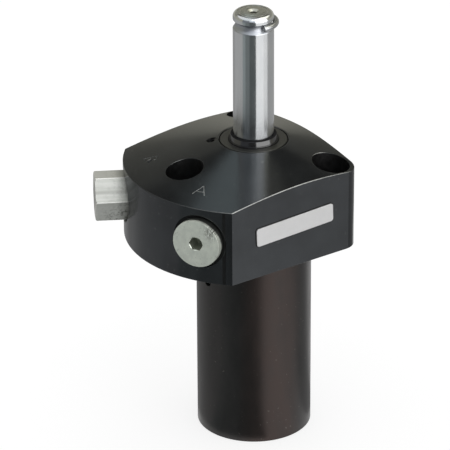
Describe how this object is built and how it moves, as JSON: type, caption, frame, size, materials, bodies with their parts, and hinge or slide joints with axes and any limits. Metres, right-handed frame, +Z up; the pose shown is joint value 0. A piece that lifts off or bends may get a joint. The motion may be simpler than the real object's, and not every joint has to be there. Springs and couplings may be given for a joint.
{
  "type": "swing clamp cylinder",
  "caption": "Hydraulic swing clamp cylinder with a round barrel, a D-shaped ported flange with a conical top, and a plunger that lifts, swings a quarter turn and clamps straight down.",
  "frame": {"origin": "on the plunger's axis, in the plane of the mounting face under the flange", "axes": "+Z up along the plunger, -Y through the middle of the ported arc, +X out of the flat that carries the plate"},
  "size_m": [0.0479, 0.0527, 0.1104],
  "materials": {
    "black_steel": "black oxide, satin",
    "gland_steel": "black oxide, turned",
    "black_rubber": "matte",
    "seal_plastic": "matte",
    "dark_screw": "black oxide",
    "hard_steel": "ground",
    "spring_steel": "drawn wire",
    "zinc_steel": "zinc plated, satin",
    "plate_silver": "satin foil",
    "cage_brass": "machined",
    "guide_plastic": "matte",
    "chromed_rod": "hard chrome, ground"
  },
  "bodies": {
    "cylinder": {"cylinder_body": "black_steel", "gland_nut": "gland_steel", "rod_wiper": "black_rubber", "rod_seal": "seal_plastic", "gland_o_ring": "black_rubber", "gland_lock_screw": "dark_screw", "guide_sleeve": "hard_steel", "sleeve_pin": "dark_screw", "cage_spring": "spring_steel", "front_port_plug": "zinc_steel", "front_plug_seal": "black_rubber", "side_port_plug": "zinc_steel", "side_plug_seal": "black_rubber", "passage_plug": "hard_steel", "name_plate": "plate_silver"},
    "ball_cage": {"ball_cage": "cage_brass", "cam_balls": "hard_steel"},
    "piston": {"piston": "hard_steel", "piston_guide_ring": "guide_plastic", "piston_seal": "seal_plastic", "spigot_seal": "black_rubber"},
    "plunger": {"plunger": "chromed_rod", "arm_clip": "spring_steel", "piston_lock_ring": "hard_steel"}
  },
  "joints": [
    {"name": "clamp_stroke", "type": "slide", "parent": "cylinder", "child": "ball_cage", "axis": [0, 0, 1], "range_m": [-0.0081, 0], "stiffness_N_per_m": 1500, "springref_m": 0.006, "deforming": ["cage_spring"]},
    {"name": "swing_lift", "type": "slide", "parent": "ball_cage", "child": "piston", "axis": [0, 0, 1], "range_m": [0, 0.0084]},
    {"name": "swing_turn", "type": "hinge", "parent": "piston", "child": "plunger", "pos_m": [0, 0, 0], "axis": [0, 0, 1], "range_deg": [0, 90]}
  ],
  "couplings": [
    {"joint": "swing_turn", "follows": "swing_lift", "rad_per_m": 187}
  ]
}
